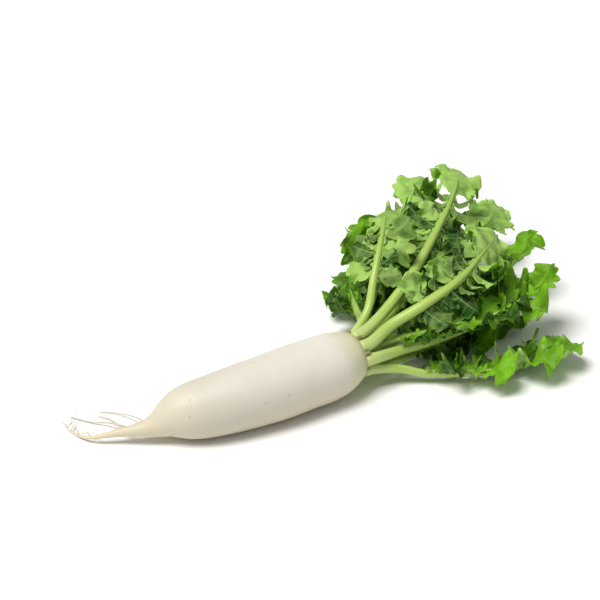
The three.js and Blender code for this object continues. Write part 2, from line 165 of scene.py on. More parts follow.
# Side rootlets: radius where they leave the root, and the points they pass
ROOTLETS = [
    (1.1, [(-117, 21, 15.5), (-122, 38, 11), (-131, 58, 5.5), (-144, 72, 2), (-160, 92, 1.3)]),
    (0.9, [(-101, 19, 16), (-103, 40, 12), (-108, 62, 5.5), (-117, 77, 1.8), (-130, 87, 1.3)]),
    (0.8, [(-122, 24, 13.5), (-124, 50, 7), (-126, 69, 2.4), (-134, 80, 1.3)]),
]
ROOT_ROWS, ROOT_SIDES = 380, 96
ROOT_GIRTH = 223  # round the thickest place
DENT_SIZE, DENT_DEPTH = 45, 0.7
RIPPLE_SIZE, RIPPLE_DEPTH = 3.2, 0.16  # the fine creases across the thin lower end
THIN, THREAD = 25, 4  # below the first radius dents give way to ripples, which fade below the second
ROOTLET_GRID, ROOTLET_TAPER = (40, 8), 0.5  # its rows and sides, and its tip's radius for its foot's
ROOT_HAIRS = 26
HAIR_RADIUS, HAIR_TAPER, HAIR_GRID = 0.26, 0.3, (14, 5)
HAIR_REACH = (14, 38)
HAIR_PLACE = (0.7, 0.99)  # shares of the root's length that the hairs grow between
HAIR_TURN = (-0.5, 1.3)  # how far round they start, in radians from the side that looks back
HAIR_SUNK, HAIR_STEPS = 0.6, 4
HAIR_OUT, HAIR_BACK, HAIR_BEND, HAIR_WANDER, HAIR_SAG = 0.6, 0.35, 0.1, 0.6, 0.22  # for each step
HAIR_TONE = (190, 240)  # where down the root the hairs have their colour from, paler than the tail
LINE_STEPS = 300  # that a line's length is measured in
WELD = 1e-4  # how near two points are that become one
UNEVEN = (12.9898, 78.233, 43758.5453)  # these only scatter what is drawn
IVORY, CREAM, MOTTLE_SIZE = "#ece8de", "#e2dccd", 22
# Stains, and the belly's painted shade: where each starts and ends in millimetres, its strength at each,
# and its colour
BELLY_PAINTED_SHADE = (4, 58, 0.8, 0, "#bfb392")  # painted shade: darkest near the table, fading out up to here
DOWN_STAINS = [
    (90, 210, 0, 0.55, "#c9c3b4"),  # the duller lower half
    (190, 330, 0, 0.8, "#e0d4b2"),  # the tan tail
    (26, 60, 0.6, 0, "#c6cc7c"),  # green where light reached the crown
    (20, 33, 0.8, 0, "#8b7c3e"),  # brown crevices between the stalks
]
# Spots: how far apart they are along the root and round it, the share that shows, and their size for
# the gap. Real pores are finer, and these are as coarse as they need to be to show.
MARKS, PORES, SCAR_BROWN = (9, 24, 0.45, 0.12), (5, 5, 0.3, 0.13), "#8a6c48"
MARK_STRENGTH = (60, 260, 0.18, 0.38)  # from and to, and the strength at each
# Creases round the skin, likewise coarser than they are: their gap, how far one runs, and their depth
CREASE_GAP, CREASE_RUN, CREASE_DEPTH = 1.8, 24, 0.25
UP = Vector((0, 0, 1))


def mix(a, b, share):
    """What lies a share of the way from a to b."""
    return a + (b - a) * share


def draw(seed, index):
    """A number from 0 to 1 that is always the same for the same two numbers. An index only tells one
    draw from another."""
    by_seed, by_index, large = UNEVEN
    return math.sin(seed * by_seed + index * by_index) * large % 1


def smooth(points, t):
    """The point at t, from 0 to 1, on a smooth curve through points."""
    spans = len(points) - 1
    i = min(int(max(t, 0) * spans), spans - 1)
    s = t * spans - i
    a, b = points[i], points[i + 1]
    slope_a = (b - (points[i - 1] if i else 2 * a - b)) / 2
    slope_b = ((points[i + 2] if i + 2 <= spans else 2 * b - a) - a) / 2
    cubic, square = s**3, s**2
    start = (2 * cubic - 3 * square + 1) * a + (cubic - 2 * square + s) * slope_a
    return start + (3 * square - 2 * cubic) * b + (cubic - square) * slope_b


def line_through(points):
    """A smooth line: its length, and a function for the point and direction at a share of it."""
    points = [Vector(p) for p in points]
    fine = [smooth(points, i / LINE_STEPS) for i in range(LINE_STEPS + 1)]
    run = list(accumulate(((b - a).length for a, b in pairwise(fine)), initial=0))

    def at(share):
        """The point and the direction at a share of the length."""
        far = min(max(share, 0), 1) * run[-1]
        i = min(bisect_right(run, far), LINE_STEPS) - 1
        t = (i + (far - run[i]) / (run[i + 1] - run[i])) / LINE_STEPS
        step = 0.5 / LINE_STEPS
        ahead = smooth(points, min(t + step, 1)) - smooth(points, max(t - step, 0))
        return smooth(points, t), ahead.normalized()

    return run[-1], at


def shaped_grid(mesh, rows, columns, place, uv=((0, 1), (0, 1)), tone=lambda u, v: 0.5):
    """Adds a grid whose point (u, v), each from 0 to 1, goes to place(u, v)."""
    tones = mesh.verts.layers.float.get("tone") or mesh.verts.layers.float.new("tone")
    uvs = mesh.loops.layers.uv.get("surface") or mesh.loops.layers.uv.new("surface")
    made = bmesh.ops.create_grid(mesh, x_segments=rows, y_segments=columns, size=0.5, calc_uvs=True)
    for vert in made["verts"]:
        for loop in vert.link_loops:
            loop[uvs].uv = Vector((mix(*uv[0], loop[uvs].uv.x), mix(*uv[1], loop[uvs].uv.y)))
        u, v = vert.co.x + 0.5, vert.co.y + 0.5
        vert[tones] = tone(u, v)
        vert.co = place(u, v)
    return made["verts"]


def angle_at(v):
    """The angle at v round a section, with the seam underneath."""
    return 2 * math.pi * v - math.pi / 2


def outward_at(along, angle):
    """The direction away from a line at an angle round it."""
    aside = UP.cross(along).normalized()
    return aside * math.cos(angle) + along.cross(aside) * math.sin(angle)


def tube(mesh, line, radius, rows, sides, *surface):
    """Adds a closed round tube along a line. radius(u) is 0 at both ends."""

    def place(u, v):
        """A point on the tube, and never in the table."""
        middle, along = line(u)[:2]
        point = middle + outward_at(along, angle_at(v)) * radius(u)
        point.z = max(point.z, 0)
        return point

    verts = shaped_grid(mesh, rows, sides, place, *surface)
    bmesh.ops.remove_doubles(mesh, verts=verts, dist=WELD)


def finished(name, mesh, materials, slot, *nodes):
    """Makes a piece in metres from a mesh in millimetres. It stands for the nodes named."""
    bmesh.ops.scale(mesh, vec=(MM, MM, MM), verts=mesh.verts)
    data = bpy.data.meshes.new(name)
    mesh.to_mesh(data)
    mesh.free()
    data.shade_smooth()
    for material in materials:
        data.materials.append(material)
    piece = bpy.data.objects.new(name, data)
    bpy.context.scene.collection.objects.link(piece)
    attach(piece, "root")
    if nodes:
        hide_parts(*nodes)
    return piece


def with_stain_or_painted_shade(tree, colour, share, start, end, at_start, at_end, stain_or_shade):
    """Mixes a stain into a colour, in a strength that follows share. It also mixes in tints, and the
    painted shade on the root's underside.
    """
    amount = add_node(tree, "ShaderNodeMapRange", {0: share, 1: start, 2: end, 3: at_start, 4: at_end})
    return add_node(
        tree, "ShaderNodeMix", {0: amount.outputs[0], 6: colour, 7: linear(stain_or_shade)}, data_type="RGBA"
    ).outputs[2]


# Daikon skin: thin, waxy and faintly wet, over white flesh that light sinks into. It is whitest along
# the top, with painted shade darkening its underside towards the table, and tan towards the tail.
# Short faint marks lie across it where side roots were, with small pores between them.
skin, tree, shader = new_material(
    "radish_skin", Roughness=0.5, Subsurface_Weight=0.3, Subsurface_Scale=0.005
)
shader.inputs["Subsurface Radius"].default_value = (1, 0.8, 0.55)
place = add_node(tree, "ShaderNodeTexCoord").outputs["Object"]
height = add_node(tree, "ShaderNodeSeparateXYZ", {0: place}).outputs["Z"]
# in millimetres along the root and round it
surface = add_node(tree, "ShaderNodeUVMap", uv_map="surface").outputs["UV"]
down = add_node(tree, "ShaderNodeSeparateXYZ", {0: surface}).outputs["X"]
mottle = add_node(
    tree, "ShaderNodeTexNoise", {"Vector": place, "Scale": 1 / (MOTTLE_SIZE * MM), "Detail": 4}
).outputs[0]
colour = add_node(
    tree, "ShaderNodeMix", {0: mottle, 6: linear(CREAM), 7: linear(IVORY)}, data_type="RGBA"
).outputs[2]
# painted shade: the skin is drawn darker towards the table, where its underside is shaded
low, high, *strengths = BELLY_PAINTED_SHADE
colour = with_stain_or_painted_shade(tree, colour, height, low * MM, high * MM, *strengths)
for stain_or_shade in DOWN_STAINS:
    colour = with_stain_or_painted_shade(tree, colour, down, *stain_or_shade)


def spots(gap, run, share, size):
    """Scattered spots on the skin, a gap apart along the root and a run apart round it."""
    cells = add_node(tree, "ShaderNodeMapping", {"Vector": surface, "Scale": (1 / gap, 1 / run, 1)})
    cell = add_node(tree, "ShaderNodeTexVoronoi", {"Vector": cells.outputs[0], "Scale": 1})
    chosen = add_node(
        tree, "ShaderNodeMath", {0: cell.outputs["Color"], 1: 1 - share}, operation="GREATER_THAN"
    )
    spot = add_node(
        tree, "ShaderNodeMapRange", {0: cell.outputs["Distance"], 1: size / 2, 2: size, 3: 1, 4: 0}
    )
    return add_node(
        tree, "ShaderNodeMath", {0: spot.outputs[0], 1: chosen.outputs[0]}, operation="MULTIPLY"
    ).outputs[0]


marks = add_node(
    tree, "ShaderNodeMath", {0: spots(*MARKS), 1: spots(*PORES)}, operation="MAXIMUM"
).outputs[0]
start, end, upper, lower = MARK_STRENGTH
strength = add_node(tree, "ShaderNodeMapRange", {0: down, 1: start, 2: end, 3: upper, 4: lower})
marks = add_node(
    tree, "ShaderNodeMath", {0: marks, 1: strength.outputs[0]}, operation="MULTIPLY"
).outputs[0]
colour = add_node(
    tree, "ShaderNodeMix", {0: marks, 6: colour, 7: linear(SCAR_BROWN)}, data_type="RGBA"
).outputs[2]
tree.links.new(colour, shader.inputs["Base Color"])
stretch = add_node(
    tree, "ShaderNodeMapping", {"Vector": surface, "Scale": (1 / CREASE_GAP, 1 / CREASE_RUN, 1)}
)
creases = add_node(tree, "ShaderNodeTexNoise", {"Vector": stretch.outputs[0], "Scale": 1, "Detail": 3})
relief = add_node(tree, "ShaderNodeMath", {0: creases.outputs[0], 1: marks}, operation="SUBTRACT")
bump = add_node(
    tree, "ShaderNodeBump", {"Height": relief.outputs[0], "Distance": CREASE_DEPTH * MM, "Strength": 0.5}
)
tree.links.new(bump.outputs[0], shader.inputs["Normal"])

root = bmesh.new()
root_length, root_line = line_through(ROOT_LINE)


def root_point(u, v):
    """A point on the skin, u from the pole of the crown to the tip of the tail and v round it."""
    middle, along = root_line(u)
    radius = 0 if u in (0, 1) else middle.w
    middle, along = middle.to_3d(), along.to_3d().normalized()
    angle = angle_at(v)
    outward = outward_at(along, angle)
    thin = 1 - min(radius / THIN, 1)
    dents = DENT_DEPTH * (1 - thin) * noise.noise((middle + outward * radius) / DENT_SIZE)
    ripples = RIPPLE_DEPTH * thin * min(radius / THREAD, 1)
    ripples *= noise.noise(Vector((u * root_length / RIPPLE_SIZE, angle, 0)))
    point = middle + outward * (radius + (dents + ripples if radius else 0))
    point.z = max(point.z, 0)
    return point


verts = shaped_grid(root, ROOT_ROWS, ROOT_SIDES, root_point, ((0, root_length), (0, ROOT_GIRTH)))
bmesh.ops.remove_doubles(root, verts=verts, dist=WELD)


def tapered(radius, taper):
    """The radius along a thread, closed at both ends."""
    return lambda u: 0 if u in (0, 1) else radius * mix(1, taper, u)


hair_surface = (HAIR_TONE, (0, ROOT_GIRTH))
for radius, points in ROOTLETS:
    line = line_through(points)[1]
    tube(root, line, tapered(radius, ROOTLET_TAPER), *ROOTLET_GRID, hair_surface)
for i in range(ROOT_HAIRS):
    middle, along = root_line(mix(*HAIR_PLACE, draw(i, 1)))
    girth, start, along = middle.w, middle.to_3d(), along.to_3d().normalized()
    reach = mix(*HAIR_REACH, draw(i, 2))
    turn = mix(*HAIR_TURN, draw(i, 3))
    aside = along.cross(UP).normalized()
    out = aside * math.cos(turn) - along.cross(aside) * math.sin(turn)
    path = [start + out * girth * HAIR_SUNK]
    for k in range(1, HAIR_STEPS + 1):
        wander = Vector((draw(i, 10 + k) - 0.5, draw(i, 20 + k) - 0.5, draw(i, 30 + k) - 0.5))
        step = out * HAIR_OUT + along * (HAIR_BACK + HAIR_BEND * k) + wander * HAIR_WANDER
        step -= Vector((0, 0, HAIR_SAG * k))
        path.append(path[-1] + step * reach / HAIR_STEPS)
        path[-1].z = max(path[-1].z, HAIR_RADIUS)
    tube(root, line_through(path)[1], tapered(HAIR_RADIUS, HAIR_TAPER), *HAIR_GRID, hair_surface)
bmesh.ops.recalc_face_normals(root, faces=root.faces)
finished("radish_root", root, [skin], "skin", "root")

# ---- The leaf stalks ------------------------------------------------------------------------------
# Each leaf hangs on a crisp, watery stalk, rounded below and channelled above, that runs on as the
# midrib. It grew out of the crown, where it is widest and palest, and a rib goes off to each leaflet.

Leaf = namedtuple("Leaf", "turn ring width face bare end points leaflet end_width lift curl seed")
# As in the frame. turn and ring place the stalk on the crown, in degrees and millimetres, and width
# is half its width there. The midrib passes the points, and face is where the blade's upper side
# looks at its tip. bare and end are the shares of the length below the leaflets and in the end lobe.
# leaflet is the length of the first and last leaflet, and lift and curl are their angle and bend.
LEAVES = [
    Leaf(
        213, 19, 6.2, (0.1, 0.25, 1), 0.34, 0.2,
        [(170, -4, 20), (195, -15, 14), (227, -30, 12), (262, -43, 12), (301, -51, 13),
         (337, -52, 17), (364, -48, 24)],
        (30, 42), 27, 30, 0.7, 16,
    ),
    Leaf(
        172, 19, 6.1, (-0.1, 0.3, 1), 0.4, 0.2,
        [(178, 4, 36), (222, 0, 40.3), (275, 1, 46.3), (325, 8, 54), (360, 19, 63), (376, 35, 73)],
        (32, 40), 22, 2, 0.35, 22,
    ),
    Leaf(
        160, 5.5, 4.2, (-0.4, 0, 1), 0.36, 0.28,
        [(174, 12, 45), (208, 3, 50), (238, -3, 54), (268, -5, 57)],
        (16, 20), 14, 16, 0.5, 7,
    ),
    Leaf(
        127, 19, 6.2, (0.4, 0.75, -0.4), 0.32, 0.26,
        [(170, 14, 62), (206, 10, 79), (251, 16, 94), (298, 42, 103), (336, 72, 101)],
        (30, 35), 28, 8, 0.5, 61,
    ),
    Leaf(
        86, 19, 6.2, (0.4, 0.75, -0.45), 0.42, 0.24,
        [(169, 32, 65), (216, 55, 87), (268, 94, 107), (311, 131, 123), (344, 169, 129),
         (366, 200, 124)],
        (34, 48), 28, 6, 0.6, 55,
    ),
    Leaf(
        46, 19, 4.8, (0.55, 0.5, -0.5), 0.36, 0.26,
        [(160, 46, 67), (176, 64, 91), (197, 89, 111), (222, 123, 121), (249, 162, 119)],
        (25, 33), 23, 10, 0.6, 34,
    ),
    Leaf(
        8, 19, 5, (-0.2, 0.2, 1), 0.36, 0.26,
        [(164, 64, 36), (185, 116, 23), (205, 163, 11), (224, 203, 7), (236, 229, 6)],
        (24, 32), 20, 24, 0.5, 2,
    ),
    Leaf(
        292, 10.5, 4.6, (0, 0.2, 1), 0.36, 0.22,
        [(186, 34, 33), (240, 50, 26), (292, 68, 22), (342, 89, 21), (380, 118, 19)],
        (25, 32), 24, 6, 0.5, 79,
    ),
    Leaf(
        330, 19, 5.4, (-0.1, 0, 1), 0.38, 0.24,
        [(188, 72, 23), (239, 125, 12), (293, 172, 7), (339, 210, 6), (371, 242, 5)],
        (32, 40), 25, 14, 0.4, 99,
    ),
    Leaf(
        262, 19, 5.2, (0, -0.1, 1), 0.38, 0.24,
        [(184, 21, 13), (230, 31, 9), (274, 33, 8), (314, 33, 8), (350, 45, 8)],
        (22, 28), 24, 6, 0.4, 20,
    ),
    Leaf(
        22, 10.5, 4.4, (0.5, 0.6, -0.4), 0.42, 0.24,
        [(169, 61, 52), (210, 107, 68), (257, 155, 82), (306, 207, 95), (343, 252, 101)],
        (38, 48), 27, 8, 0.6, 121,
    ),
    Leaf(
        66, 6.5, 4.4, (0.2, 0.45, -0.85), 0.4, 0.22,
        [(188, 51, 47), (246, 84, 56), (305, 118, 61), (373, 164, 63), (429, 193, 68)],
        (32, 36), 28, 8, -0.4, 13,
    ),
    Leaf(
        332, 4.6, 3.8, (0.1, 0.3, 1), 0.36, 0.24,
        [(196, 79, 40), (222, 137, 47), (243, 184, 56), (271, 222, 64)],
        (34, 44), 30, 8, 0.5, 3,
    ),
    Leaf(
        210, 10.5, 4.2, (0.3, 0.5, 0.5), 0.4, 0.24,
        [(181, 20, 37), (243, 36, 43.5), (303, 52, 48), (368, 82, 54), (412, 110, 60)],
        (28, 36), 26, 8, 0.4, 68,
    ),
]
CROWN_MIDDLE = Vector((127.5, 15.3, 37))
CROWN_OUT, CROWN_LEFT = Vector((0.986, 0.167, 0)), Vector((-0.167, 0.986, 0))
SUNK, STRAIGHT, SPLAY = 4, 12, 1 / 8  # how a stalk leaves the crown
STALK_GAP, WING_WIDTH = 0.5, 2.6
RIB_TIP, LATE = 0.9, 1.9  # half the midrib's width where it ends, and how late it thins to that
SEAM_HEIGHT = 0.15  # of the blade's inner edge above the midrib's middle, for half its width
FOOT_TILT = 0.2  # how far the foot's upper side tips away from the crown
STRAIGHTEST = 1e-6  # the least bend, in place of none
TIP_SHARE, TIP_CURL = 0.6, (-0.8, 0.9)  # how much of the end lobe curls, and how far, in radians
STALK_ROWS, STALK_SIDES = 90, 28
STALK_RIDGES, RIDGE_DEPTH = 9, 0.03
STALK_TOP, STALK_BELLY = 0.5, 1.02  # how high and how deep it is, for half its width
CHANNEL, CHANNEL_WIDTH = 0.24, 0.45  # as above
FLARE, FLARE_RUN = 0.12, 0.05  # how much wider its foot is, and over what share of the leaf
SLIMMEST, SLIMS = 0.2, 1.6  # the share of the midrib that shows at its end, and how late it slims
SHORT = 0.15  # the share of the end lobe that the midrib stops short of
STALK_CLEAR = 0.2  # above the table
STALK_GREEN = "#b8d26c"
# As the root's stains, with shares of the ripening from the crown, 0, to the blade's end, 1
RIB_TINT, PALE_TINT = (0.5, 1, 0, 1, "#8abc50"), (0.03, 0.16, 0.95, 0, "#cfdc92")
STREAK_TINT = (0.35, 0.7, 0, 0.6, "#8aaf45")  # and with shares of the streaks' own strength
STREAK_DEPTH = 0.3
RIPE_AT_LOBE, RIPENS_BY = 0.8, 0.5  # how ripe it is where the end lobe starts, and how much more
STREAK_WIDTH, STREAK_RUN = 1 / 30, 1 / 3  # as shares of the way round the stalk and along it
LEAFLET_RIB = 0.014  # half the width of a leaflet's own rib, for the leaflet's length
RIB_SPAN, RIB_TAPER = (-0.14, 0.85), 0.2  # where on the leaflet it runs, and its end for its foot
RIB_DROP, RIB_RIPE, RIB_GRID = 0.15, (0.75, 1), (16, 6)

PAIRS, PICKS = 3, 10  # of large leaflets, and the numbers kept for each leaflet's draws
LARGE_STRAY, SMALL_STRAY = 0.012, 0.02  # along the midrib, for the leaf's length
TIP_DRAW, SMALL_DRAW = 450, 500  # the indexes that their draws start from
FIRST_PAIR, LAST_PAIR = 0.045, 0.08  # from the bare stalk, and to the end lobe
FORWARD = (14, 30)  # degrees that the first and the last leaflet lean towards the tip
FOLD, TWIST = 0.4, 0.2
# Small leaflets: how far from the first large pair to the last, below 0 for on the bare stalk, and
# their size for the first pair's
SMALL = [(-0.32, 0.24), (-0.14, 0.42), (0.12, 0.6), (0.3, 0.75), (0.62, 0.7), (0.85, 0.8), (1.2, 0.85)]
SMALL_FORWARD, SMALL_LIFT, LARGE_LIFT = 38, 16, 14  # the lifts are added to the leaf's own
Posture = namedtuple("Posture", "u side long forward lift curl fold twist phase large")
# How much one leaflet differs from the next: as shares, and forward and lift in degrees
Spread = namedtuple("Spread", "seed size forward lift curl fold twist")
LARGE_SPREAD, SMALL_SPREAD = Spread(0, 0.2, 14, 44, 2.4, 0.5, 1.5), Spread(3, 0.4, 40, 56, 2, 0.6, 2.6)


def midrib(leaf):
    """The length of a leaf, and its middle line: point, direction, upper side and side at a share."""
    angle = math.radians(leaf.turn)
    radial = CROWN_LEFT * math.cos(angle) + UP * math.sin(angle)
    foot = CROWN_MIDDLE + radial * leaf.ring
    outside = foot + CROWN_OUT * STRAIGHT + radial * leaf.ring * SPLAY
    length, line = line_through([foot - CROWN_OUT * SUNK, outside, *leaf.points])
    face_foot = CROWN_OUT * FOOT_TILT - radial
    face_tip = Vector(leaf.face).normalized()

    def straight(u):
        """The middle line without its curled tip. Its upper side turns over its first half."""
        point, along = line(u)
        turned = min(max(2 * u, 0), 1)
        up = face_foot.lerp(face_tip, turned * turned * (3 - 2 * turned))
        up = (up - along * up.dot(along)).normalized()
        return point, along, up, along.cross(up)

    curl_start = 1 - TIP_SHARE * leaf.end
    start, along_start, up_start, aside_start = straight(curl_start)
    tip_curl = mix(*TIP_CURL, draw(leaf.seed, TIP_DRAW))

    def at(u):
        """The middle line, with its tip curled up or down."""
        if u < curl_start:
            return straight(u)
        bend = tip_curl * (u - curl_start) / (1 - curl_start) or STRAIGHTEST
        run = (u - curl_start) * length / bend
        point = start + (along_start * math.sin(bend) + up_start * (1 - math.cos(bend))) * run
        along = along_start * math.cos(bend) + up_start * math.sin(bend)
        return point, along, along.cross(aside_start).normalized() * -1, aside_start

    return length, at


def stalk_width(leaf, u):
    """Half the width of the stalk and midrib."""
    return mix(leaf.width, RIB_TIP, max(u, 0) ** LATE)


def leaflets_of(leaf):
    """The three large pairs of leaflets, and the small ones between and below them."""
    first, last = leaf.bare + FIRST_PAIR, 1 - leaf.end - LAST_PAIR
    made = []

    def add(spread, pick, u, size, forward, lift):
        """Adds a leaflet at u that differs a little from the others."""

        def vary(index, width):
            """A number up to half a width from 0."""
            return width * (draw(leaf.seed + spread.seed, pick + index) - 0.5)

        made.append(
            Posture(
                u,
                side,
                size * (1 + vary(1, spread.size)),
                math.radians(forward + vary(2, spread.forward)),
                math.radians(lift + vary(3, spread.lift)),
                leaf.curl * (1 + vary(4, spread.curl)),
                FOLD + vary(5, spread.fold),
                TWIST + vary(6, spread.twist),
                vary(7, 2 * math.pi),
                spread is LARGE_SPREAD,
            )
        )

    for side in (-1, 1):
        for pair in range(PAIRS):
            share, pick = pair / (PAIRS - 1), PICKS * (2 * pair + (side > 0))
            u = mix(first, last, share) + LARGE_STRAY * (draw(leaf.seed, pair) - 0.5)
            size, forward = mix(*leaf.leaflet, share), mix(*FORWARD, share)
            add(LARGE_SPREAD, pick, u, size, forward, leaf.lift + LARGE_LIFT)
        for k, (share, size) in enumerate(SMALL):
            pick = PICKS * (2 * k + (side > 0))
            u = mix(first, last, share) + SMALL_STRAY * (draw(leaf.seed, SMALL_DRAW + pick) - 0.5)
            size *= leaf.leaflet[0]
            add(SMALL_SPREAD, pick, u, size, SMALL_FORWARD, leaf.lift + SMALL_LIFT)
    return made


def leaflet_foot(leaf, at, posture):
    """Where a leaflet starts on the midrib, and the directions there."""
    point, along, up, aside = at(posture.u)
    half = stalk_width(leaf, posture.u)
    edge = half + STALK_GAP + WING_WIDTH
    return point + aside * posture.side * edge + up * SEAM_HEIGHT * half, along, up, aside


def leaflet_frame(foot, posture, reach):
    """A leaflet's middle line at a share of its length: point, direction, upper side and edge. It
    twists over its first half."""
    point, along, up, aside = foot
    outward = aside * posture.side
    flat = outward * math.cos(posture.forward) + along * math.sin(posture.forward)
    out = flat * math.cos(posture.lift) + up * math.sin(posture.lift)
    face = up * math.cos(posture.lift) - flat * math.sin(posture.lift)
    edge = along * math.cos(posture.forward) - outward * math.sin(posture.forward)
    bend = posture.curl * reach or STRAIGHTEST
    run = posture.long * reach / bend
    middle = point + out * run * math.sin(bend) - face * run * (1 - math.cos(bend))
    ahead = out * math.cos(bend) - face * math.sin(bend)
    bent_face = face * math.cos(bend) + out * math.sin(bend)
    turned = posture.twist * min(2 * reach, 1)
    return middle, ahead, bent_face, edge * math.cos(turned) + bent_face * math.sin(turned)


# Leaf stalk: smooth, turgid and a little wet. Fine ridges run along it, the base is nearly white,
# and the midrib stays paler than the blade.
stalk_skin, tree, shader = new_material(
    "leaf_stalk_skin", Roughness=0.36, Subsurface_Weight=0.25, Subsurface_Scale=0.003
)
shader.inputs["Subsurface Radius"].default_value = (0.8, 1, 0.35)
surface = add_node(tree, "ShaderNodeUVMap", uv_map="surface").outputs["UV"]
along = add_node(tree, "ShaderNodeAttribute", attribute_name="tone").outputs["Fac"]
streaked = add_node(
    tree, "ShaderNodeMapping", {"Vector": surface, "Scale": (1 / STREAK_RUN, 1 / STREAK_WIDTH, 1)}
)
streaks = add_node(
    tree, "ShaderNodeTexNoise", {"Vector": streaked.outputs[0], "Scale": 1, "Detail": 3}
).outputs[0]
colour = with_stain_or_painted_shade(tree, linear(STALK_GREEN), along, *RIB_TINT)
colour = with_stain_or_painted_shade(tree, colour, along, *PALE_TINT)
colour = with_stain_or_painted_shade(tree, colour, streaks, *STREAK_TINT)
tree.links.new(colour, shader.inputs["Base Color"])
bump = add_node(
    tree, "ShaderNodeBump", {"Height": streaks, "Distance": STREAK_DEPTH * MM, "Strength": 0.4}
)
tree.links.new(bump.outputs[0], shader.inputs["Normal"])


def stalk_section(angle):
    """The stalk's outline: rounded below, with a shallow channel above and fine ridges."""
    across, rise = math.cos(angle), math.sin(angle)
    ridge = 1 + RIDGE_DEPTH * math.cos(2 * STALK_RIDGES * angle)
    if rise > 0:
        channel = CHANNEL * math.exp(-((across / CHANNEL_WIDTH) ** 2))
        return across * ridge, STALK_TOP * rise - channel * rise
    return across * ridge, STALK_BELLY * rise * ridge


def stalk_shown(leaf, share):
    """Half the width that shows. It flares at the foot and slims between the leaflets to a vein."""
    bladed = max(share - leaf.bare, 0) / (1 - leaf.bare)
    flare = 1 + FLARE * math.exp(-((share / FLARE_RUN) ** 2))
    return stalk_width(leaf, share) * mix(1, SLIMMEST, bladed**SLIMS) * flare


for number, leaf in enumerate(LEAVES, 1):
    _, at = midrib(leaf)
    rib_end = 1 - leaf.end * SHORT
    stalk = bmesh.new()

    def stalk_point(u, v):
        """A point on the stalk, from inside the crown to near the tip of the end lobe."""
        share = u * rib_end
        point, _, up, aside = at(share)
        across, rise = stalk_section(angle_at(v))
        half = 0 if u in (0, 1) else stalk_shown(leaf, share)
        point = point + (aside * across + up * rise) * half
        point.z = max(point.z, STALK_CLEAR)
        return point

    def ripeness(u, _):
        """How far the colour has turned from the pale base, 0, to the green of the blade, 1."""
        share = u * rib_end
        into_lobe = max(share - 1 + leaf.end, 0) / leaf.end
        return min(RIPE_AT_LOBE * share / (1 - leaf.end) + RIPENS_BY * into_lobe, 1)

    verts = shaped_grid(stalk, STALK_ROWS, STALK_SIDES, stalk_point, tone=ripeness)
    bmesh.ops.remove_doubles(stalk, verts=verts, dist=WELD)
    for posture in leaflets_of(leaf):
        foot = leaflet_foot(leaf, at, posture)

        def rib(u):
            """The leaflet's own rib, from inside the midrib to near its tip, on its under side."""
            middle, ahead, bent_face, _ = leaflet_frame(foot, posture, mix(*RIB_SPAN, u))
            return middle - bent_face * RIB_DROP, ahead

        thread = tapered(LEAFLET_RIB * posture.long, RIB_TAPER)
        tube(stalk, rib, thread, *RIB_GRID, ((0, 1), (0, 1)), lambda u, _: mix(*RIB_RIPE, u))
    bmesh.ops.recalc_face_normals(stalk, faces=stalk.faces)
    node = f"leaf_{number:02d}_stalk"
    finished(f"{node}_fine", stalk, [stalk_skin], "stalk", node)

# ---- What is left of older leaves -----------------------------------------------------------------
# Leaves that were picked or died back left dry stubs round the crown, between the stalks. Each grew
# from the crown as they did, and is now a short corky scale with a torn, sunken end.

STUBS = [(238, 22), (268, 20), (296, 22), (192, 23), (149, 23), (106, 23), (66, 23), (27, 22), (345, 22)]
STUB_RADIUS, STUB_REACH = (1.5, 2.5), (1, 3.5)
STUB_SUNK, STUB_TAPER, STUB_GRID = 5, (1.1, 0.75), (16, 12)
STUB_HOLLOW = 0.94  # the share of its rows that go up its side, and the others are its sunken end
STUB_LEAN, STUB_ROUGH, STUB_GRAIN, STUB_SEED = 0.35, 0.7, 1.2, 5
FIBRE_SIZE, FIBRE_DEPTH = 2.5, 0.4
STUB_TAN, STUB_BROWN = "#b0b06c", "#5f5528"

# Dead leaf base: dry, fibrous and matt, so it has no shine and its colour is uneven.
stub_skin, tree, shader = new_material("dry_leaf_base", Roughness=0.85)
place = add_node(tree, "ShaderNodeTexCoord").outputs["Object"]
fibre = add_node(tree, "ShaderNodeTexNoise", {"Vector": place, "Scale": 1 / (FIBRE_SIZE * MM), "Detail": 4})
colour = add_node(
    tree,
    "ShaderNodeMix",
    {0: fibre.outputs[0], 6: linear(STUB_BROWN), 7: linear(STUB_TAN)},
    data_type="RGBA",
)
tree.links.new(colour.outputs[2], shader.inputs["Base Color"])
bump = add_node(tree, "ShaderNodeBump", {"Height": fibre.outputs[0], "Distance": FIBRE_DEPTH * MM})
tree.links.new(bump.outputs[0], shader.inputs["Normal"])

stubs = bmesh.new()
noise.seed_set(STUB_SEED)  # unseeded, the torn surface would differ from run to run
for i, (turn, ring) in enumerate(STUBS):
    angle = math.radians(turn)
    radial = CROWN_LEFT * math.cos(angle) + UP * math.sin(angle)
    foot = CROWN_MIDDLE + radial * ring - CROWN_OUT * STUB_SUNK
    lean = (CROWN_OUT + radial * STUB_LEAN).normalized()
    reach, radius = mix(*STUB_REACH, draw(i, 71)) + STUB_SUNK, mix(*STUB_RADIUS, draw(i, 72))

    def stub_line(u):
        """Straight up the stub, and level over its end."""
        return foot + lean * reach * min(u / STUB_HOLLOW, 1), lean

    def stub_radius(u):
        """Round, and closed at its end by a shallow hollow."""
        return 0 if u in (0, 1) else radius * mix(*STUB_TAPER, u)

    before = len(stubs.verts)
    tube(stubs, stub_line, stub_radius, *STUB_GRID)
    stubs.verts.ensure_lookup_table()
    # Most of this stub's points and a few of the others': new points take the places of merged ones,
    # so some are torn twice and some not at all.
    for vert in stubs.verts[before:]:
        vert.co += Vector(noise.noise_vector(vert.co / STUB_GRAIN)) * STUB_ROUGH
bmesh.ops.recalc_face_normals(stubs, faces=stubs.faces)
